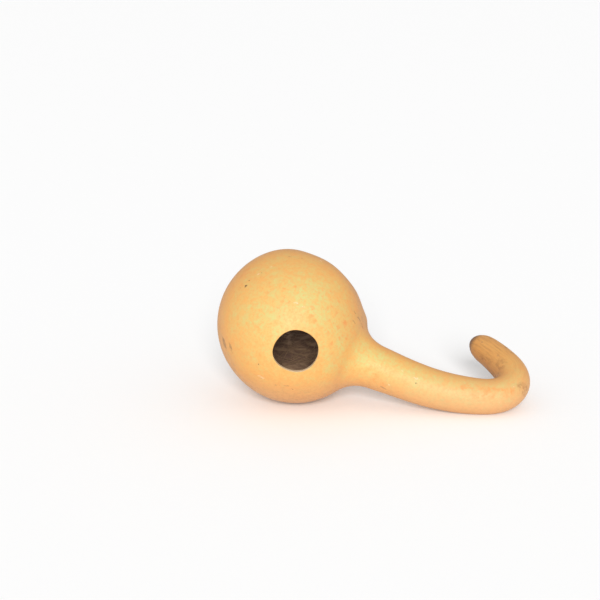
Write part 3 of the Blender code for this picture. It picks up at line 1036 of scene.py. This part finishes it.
def pith_material(finish):
    material, tree, shader, place = new_material("pith", finish.pith)
    fibrous = stretched(tree, place, (0.35, 1.2, 1.0), (0.0, radians(48.0), 0.0))
    streaks = between(tree, cloud(tree, fibrous, 130.0, 5.0, 0.65, 0.9), 0.35, 0.66)
    height = z_of(tree, place)
    # Painted light: the pith is laid paler higher up, where the inside lies in shade, and its dark folds
    # fade there too
    painted_light_higher = between(tree, height, 0.030, 0.066, 0.0, 0.9)
    ground = laid(tree, finish.pith, painted_light_higher, finish.pith_painted_light)
    folds = times(tree, streaks, between(tree, height, 0.062, 0.100, 1.0, 0.35))
    ground = laid(tree, ground, folds, finish.pith_dark)
    feed(tree, shader, {
        "Base Color": ground, "Roughness": 0.9, "Specular IOR Level": 0.1,
        "Normal": bump(tree, 0.8, 0.0015, streaks)})
    return material


def fibre_material(finish):
    material, tree, shader, place = new_material("fibre", finish.fibre)
    shade = between(tree, cloud(tree, place, 240.0, 3.0, 0.6), 0.35, 0.65)
    ground = laid(tree, finish.fibre, shade, finish.pith)
    feed(tree, shader, {"Base Color": ground, "Roughness": 0.9, "Specular IOR Level": 0.1})
    return material


def scar_material(finish):
    material, tree, shader, place = new_material("scar_cork", finish.scar)
    cells = cloud(tree, place, 1100.0, 4.0, 0.7)
    light = between(tree, cells, 0.45, 0.75, 0.0, 0.55)
    ground = laid(tree, finish.scar, light, finish.bruise_and_shade)
    feed(tree, shader, {
        "Base Color": ground, "Roughness": 0.9, "Specular IOR Level": 0.15,
        "Normal": bump(tree, 0.9, 0.0006, cells)})
    return material


class GOURD_OT_rind(bpy.types.Operator):
    """Make the rind: skin, cut edge, inner wall and scars"""

    bl_idname = "gourd.rind"
    bl_label = "Make the rind"

    def execute(self, context):
        size, finish = context.scene.gourd_shape, context.scene.gourd_finish
        materials = [
            skin_material(finish, size), cut_material(finish), pith_material(finish), scar_material(finish)]
        rind = build_rind(size, materials)
        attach(rind, "root")
        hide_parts("gourd")
        return {"FINISHED"}


class GOURD_OT_fibres(bpy.types.Operator):
    """Make the loose pith fibres on the inner wall"""

    bl_idname = "gourd.fibres"
    bl_label = "Make the fibres"

    def execute(self, context):
        size, finish = context.scene.gourd_shape, context.scene.gourd_finish
        fibres = build_fibres(size, fibre_material(finish))
        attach(fibres, "root")
        return {"FINISHED"}


def make_floor(stage):
    shape = bmesh.new()
    bmesh.ops.create_grid(shape, x_segments=1, y_segments=1, size=stage.floor_size)
    material, tree, shader, _ = new_material("floor", stage.floor)
    feed(tree, shader, {"Base Color": stage.floor, "Roughness": 0.9, "Specular IOR Level": 0.1})
    floor = mesh_object("floor", shape, [material])


def make_lights(stage):
    rise = stage.elevation + stage.key_rise
    towards = Vector((sin(stage.azimuth) * cos(rise), -cos(stage.azimuth) * cos(rise), sin(rise)))
    lamp = bpy.data.lights.new("key", "SUN")
    lamp.energy = stage.key_strength
    lamp.angle = stage.key_softness
    key = put_in_scene("key", lamp)
    key.rotation_euler = towards.to_track_quat("Z", "Y").to_euler()
    world = bpy.data.worlds.new("soft_room")
    world.use_nodes = True
    background = world.node_tree.nodes["Background"]
    background.inputs["Color"].default_value = (1.0, 1.0, 1.0, 1.0)
    background.inputs["Strength"].default_value = stage.fill_strength
    bpy.context.scene.world = world


def make_camera(stage, size):
    azimuth, rise = stage.azimuth, stage.elevation
    ahead = Vector((-sin(azimuth) * cos(rise), cos(azimuth) * cos(rise), -sin(rise)))
    right = Vector((cos(azimuth), sin(azimuth), 0.0))
    up = right.cross(ahead)
    pixel = stage.distance * SENSOR / stage.lens / FRAME_PIXELS
    bulb = Vector((0.0, 0.0, size.bulb_height))
    across = (BULB_PIXEL[0] - FRAME_PIXELS / 2.0) * pixel
    down = (BULB_PIXEL[1] - FRAME_PIXELS / 2.0) * pixel
    lens = bpy.data.cameras.new("camera")
    lens.lens = stage.lens
    lens.sensor_width = SENSOR
    lens.clip_start = 0.01
    camera = put_in_scene("camera", lens)
    camera.location = bulb - across * right + down * up - stage.distance * ahead
    camera.rotation_euler = Matrix((right, up, -ahead)).transposed().to_euler()
    bpy.context.scene.camera = camera


class GOURD_OT_stage(bpy.types.Operator):
    """Make the floor, the lights and the camera"""

    bl_idname = "gourd.stage"
    bl_label = "Make the stage"

    def execute(self, context):
        stage = context.scene.gourd_stage
        make_floor(stage)
        make_lights(stage)
        make_camera(stage, context.scene.gourd_shape)
        context.scene.view_settings.view_transform = "Standard"
        return {"FINISHED"}


class GOURD_PT_panel(bpy.types.Panel):
    """The gourd's pieces, sizes and colours"""

    bl_label = "Dried bottle gourd"
    bl_idname = "GOURD_PT_panel"
    bl_space_type = "VIEW_3D"
    bl_region_type = "UI"
    bl_category = "Gourd"

    def draw(self, context):
        for operator in OPERATORS:
            self.layout.operator(operator.bl_idname)
        for settings in (context.scene.gourd_shape, context.scene.gourd_finish, context.scene.gourd_stage):
            for name in settings.__annotations__:
                self.layout.prop(settings, name)


OPERATORS = (GOURD_OT_rind, GOURD_OT_fibres, GOURD_OT_stage)
GROUPS = (("gourd_shape", GourdShape), ("gourd_finish", GourdFinish), ("gourd_stage", GourdStage))


def register():
    for name, group in GROUPS:
        bpy.utils.register_class(group)
        setattr(bpy.types.Scene, name, PointerProperty(type=group))
    for kind in OPERATORS + (GOURD_PT_panel,):
        bpy.utils.register_class(kind)


def unregister():
    for kind in reversed(OPERATORS + (GOURD_PT_panel,)):
        bpy.utils.unregister_class(kind)
    for name, group in reversed(GROUPS):
        delattr(bpy.types.Scene, name)
        bpy.utils.unregister_class(group)


def main():
    register()
    bpy.ops.gourd.rind()
    bpy.ops.gourd.fibres()
    bpy.ops.gourd.stage()


if __name__ == "__main__":
    main()
